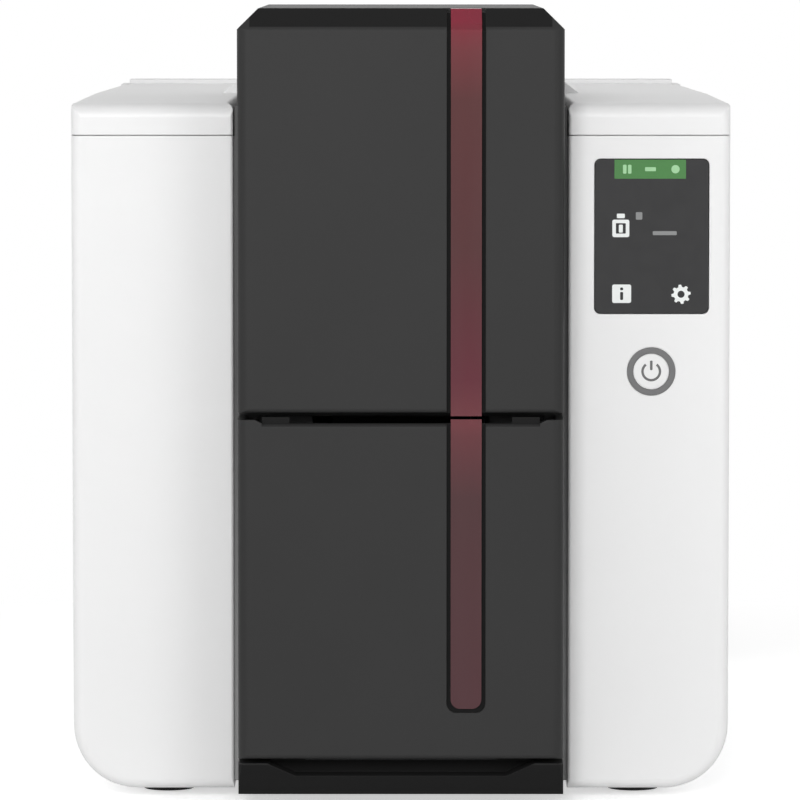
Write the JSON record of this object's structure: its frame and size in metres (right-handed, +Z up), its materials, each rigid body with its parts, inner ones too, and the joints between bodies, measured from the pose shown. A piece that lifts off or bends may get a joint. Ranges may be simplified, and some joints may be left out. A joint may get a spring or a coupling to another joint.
{
  "type": "id card printer",
  "caption": "Desktop card printer: white casing with a hinged lid round a dark card tower with two drop-down doors, touch screen, power button, rollers and ribbon.",
  "frame": {"origin": "middle of the bounding box at the bottom of the feet", "axes": "+X to the right seen from the front, +Y from the front to the back, +Z up"},
  "size_m": [0.205, 0.381, 0.247],
  "materials": {
    "shell_white": "fine moulded grain",
    "tower_grey": "satin moulded",
    "window_red": "clear tinted, smooth",
    "dark_plastic": "moulded grain",
    "feet_rubber": "matt",
    "roller_rubber": "ground smooth",
    "cleaning_blue": "tacky, smooth",
    "steel": "bright zinc plated",
    "head_alloy": "cast, bead blasted",
    "bush_bronze": "sintered",
    "gear_white": "moulded",
    "film": "thin dye film",
    "screen": "smooth glass-like",
    "ring_grey": "satin",
    "board_green": "solder mask"
  },
  "bodies": {
    "housing": {"left_casing": "shell_white", "right_casing": "shell_white", "base_tray": "dark_plastic", "rubber_feet": "feet_rubber", "rear_cover": "shell_white", "rear_panel": "dark_plastic", "tower_frame": "tower_grey", "feeder_bin": "dark_plastic", "hopper_bin": "dark_plastic", "door_pins": "steel", "lid_pins": "steel", "screen_glass": "screen", "screen_module": "dark_plastic", "button_ring": "ring_grey", "chassis_left": "steel", "chassis_right": "steel", "tie_bars": "steel", "bearing_bushes": "bush_bronze", "card_tracks": "dark_plastic", "feed_motor": "steel", "drive_motor": "steel", "drive_belt": "roller_rubber", "ribbon_film": "film", "ribbon_motor": "steel", "main_board": "board_green", "power_inlet": "dark_plastic", "data_sockets": "steel", "fan_frame": "dark_plastic"},
    "feeder_door": {"feeder_door": "tower_grey", "feeder_window": "window_red"},
    "hopper_door": {"hopper_door": "tower_grey", "hopper_window": "window_red"},
    "card_weight": {"card_weight": "dark_plastic"},
    "lid": {"top_lid": "shell_white", "lid_liner": "dark_plastic", "head_bracket": "steel", "head_springs": "steel"},
    "release_button": {"release_button": "tower_grey"},
    "latch_hook": {"latch_hook": "steel"},
    "print_head": {"print_head": "head_alloy"},
    "power_button": {"power_button": "shell_white"},
    "diverter_flap": {"diverter_flap": "gear_white"},
    "pick_roller": {"pick_roller": "roller_rubber"},
    "idler_gear": {"idler_gear": "gear_white"},
    "feed_roller": {"feed_roller": "roller_rubber"},
    "feed_pinion": {"feed_pinion": "gear_white"},
    "cleaning_roller": {"cleaning_roller": "cleaning_blue"},
    "entry_roller": {"entry_roller": "roller_rubber"},
    "exit_roller": {"exit_roller": "roller_rubber"},
    "entry_pinch": {"entry_pinch": "roller_rubber"},
    "exit_pinch": {"exit_pinch": "roller_rubber"},
    "platen": {"platen_shaft": "steel", "platen_roller": "roller_rubber"},
    "motor_pulley": {"motor_pulley": "steel"},
    "supply_spool": {"supply_spool": "dark_plastic"},
    "takeup_spool": {"takeup_spool": "dark_plastic", "takeup_gear": "gear_white"},
    "ribbon_pinion": {"ribbon_pinion": "gear_white"},
    "fan_rotor": {"fan_rotor": "dark_plastic"}
  },
  "joints": [
    {"name": "lid_hinge", "type": "hinge", "parent": "housing", "child": "lid", "pos_m": [0, 0.1662, 0.2094], "axis": [-1, 0, 0], "range_deg": [0, 75]},
    {"name": "feeder_door_hinge", "type": "hinge", "parent": "housing", "child": "feeder_door", "pos_m": [0, -0.1865, 0.127], "axis": [1, 0, 0], "range_deg": [0, 90]},
    {"name": "hopper_door_hinge", "type": "hinge", "parent": "housing", "child": "hopper_door", "pos_m": [0, -0.1865, 0.0198], "axis": [1, 0, 0], "range_deg": [0, 55]},
    {"name": "card_weight_slide", "type": "slide", "parent": "housing", "child": "card_weight", "axis": [0, 0, 1], "range_m": [0, 0.07]},
    {"name": "power_button_slide", "type": "slide", "parent": "housing", "child": "power_button", "axis": [0, 1, 0], "range_m": [0, 0.0015], "stiffness_N_per_m": 300, "springref_m": -0.002},
    {"name": "release_button_slide", "type": "slide", "parent": "lid", "child": "release_button", "axis": [0, 0, -1], "range_m": [0, 0.002], "stiffness_N_per_m": 300, "springref_m": -0.003},
    {"name": "latch_hook_pivot", "type": "hinge", "parent": "lid", "child": "latch_hook", "pos_m": [0, -0.02465, 0.2095], "axis": [-1, 0, 0], "range_deg": [0, 11.6]},
    {"name": "print_head_lift", "type": "slide", "parent": "lid", "child": "print_head", "axis": [0, 0, 1], "range_m": [0, 0.002], "stiffness_N_per_m": 600, "springref_m": -0.004, "deforming": ["head_springs"]},
    {"name": "diverter_flap_pivot", "type": "hinge", "parent": "housing", "child": "diverter_flap", "pos_m": [0, -0.0918, 0.125], "axis": [1, 0, 0], "range_deg": [0, 12]},
    {"name": "feed_roller_spin", "type": "hinge", "parent": "housing", "child": "feed_roller", "pos_m": [0, -0.066, 0.1192], "axis": [1, 0, 0], "continuous": true},
    {"name": "idler_gear_spin", "type": "hinge", "parent": "housing", "child": "idler_gear", "pos_m": [0, -0.0871, 0.1192], "axis": [1, 0, 0], "continuous": true},
    {"name": "pick_roller_spin", "type": "hinge", "parent": "housing", "child": "pick_roller", "pos_m": [0, -0.1082, 0.119], "axis": [1, 0, 0], "continuous": true},
    {"name": "feed_pinion_spin", "type": "hinge", "parent": "housing", "child": "feed_pinion", "pos_m": [0, -0.05249, 0.10569], "axis": [1, 0, 0], "continuous": true},
    {"name": "cleaning_roller_spin", "type": "hinge", "parent": "housing", "child": "cleaning_roller", "pos_m": [0, -0.066, 0.13676], "axis": [1, 0, 0], "continuous": true},
    {"name": "platen_spin", "type": "hinge", "parent": "housing", "child": "platen", "pos_m": [0, 0.04, 0.12], "axis": [1, 0, 0], "continuous": true},
    {"name": "entry_roller_spin", "type": "hinge", "parent": "housing", "child": "entry_roller", "pos_m": [0, -0.02, 0.122], "axis": [1, 0, 0], "continuous": true},
    {"name": "exit_roller_spin", "type": "hinge", "parent": "housing", "child": "exit_roller", "pos_m": [0, 0.1, 0.122], "axis": [1, 0, 0], "continuous": true},
    {"name": "entry_pinch_spin", "type": "hinge", "parent": "housing", "child": "entry_pinch", "pos_m": [0, -0.02, 0.13376], "axis": [1, 0, 0], "continuous": true},
    {"name": "exit_pinch_spin", "type": "hinge", "parent": "housing", "child": "exit_pinch", "pos_m": [0, 0.1, 0.13376], "axis": [1, 0, 0], "continuous": true},
    {"name": "motor_pulley_spin", "type": "hinge", "parent": "housing", "child": "motor_pulley", "pos_m": [0, 0.04, 0.072], "axis": [1, 0, 0], "continuous": true},
    {"name": "supply_spool_spin", "type": "hinge", "parent": "housing", "child": "supply_spool", "pos_m": [0, 0.085, 0.172], "axis": [1, 0, 0], "continuous": true},
    {"name": "takeup_spool_spin", "type": "hinge", "parent": "housing", "child": "takeup_spool", "pos_m": [0, -0.015, 0.172], "axis": [1, 0, 0], "continuous": true},
    {"name": "ribbon_pinion_spin", "type": "hinge", "parent": "housing", "child": "ribbon_pinion", "pos_m": [0, -0.03911, 0.14789], "axis": [1, 0, 0], "continuous": true},
    {"name": "fan_rotor_spin", "type": "hinge", "parent": "housing", "child": "fan_rotor", "pos_m": [-0.058, 0.1825, 0.095], "axis": [0, 1, 0], "continuous": true}
  ],
  "couplings": [
    {"joint": "latch_hook_pivot", "follows": "release_button_slide", "rad_per_m": 100},
    {"joint": "idler_gear_spin", "follows": "feed_roller_spin", "ratio": -0.90909},
    {"joint": "pick_roller_spin", "follows": "feed_roller_spin", "ratio": 1},
    {"joint": "feed_pinion_spin", "follows": "feed_roller_spin", "ratio": -1.1111},
    {"joint": "entry_roller_spin", "follows": "platen_spin", "ratio": 1.2222},
    {"joint": "exit_roller_spin", "follows": "platen_spin", "ratio": 1.2222},
    {"joint": "motor_pulley_spin", "follows": "platen_spin", "ratio": 1.8333},
    {"joint": "entry_pinch_spin", "follows": "platen_spin", "ratio": -1.4667},
    {"joint": "exit_pinch_spin", "follows": "platen_spin", "ratio": -1.4667},
    {"joint": "ribbon_pinion_spin", "follows": "takeup_spool_spin", "ratio": -2.4}
  ]
}
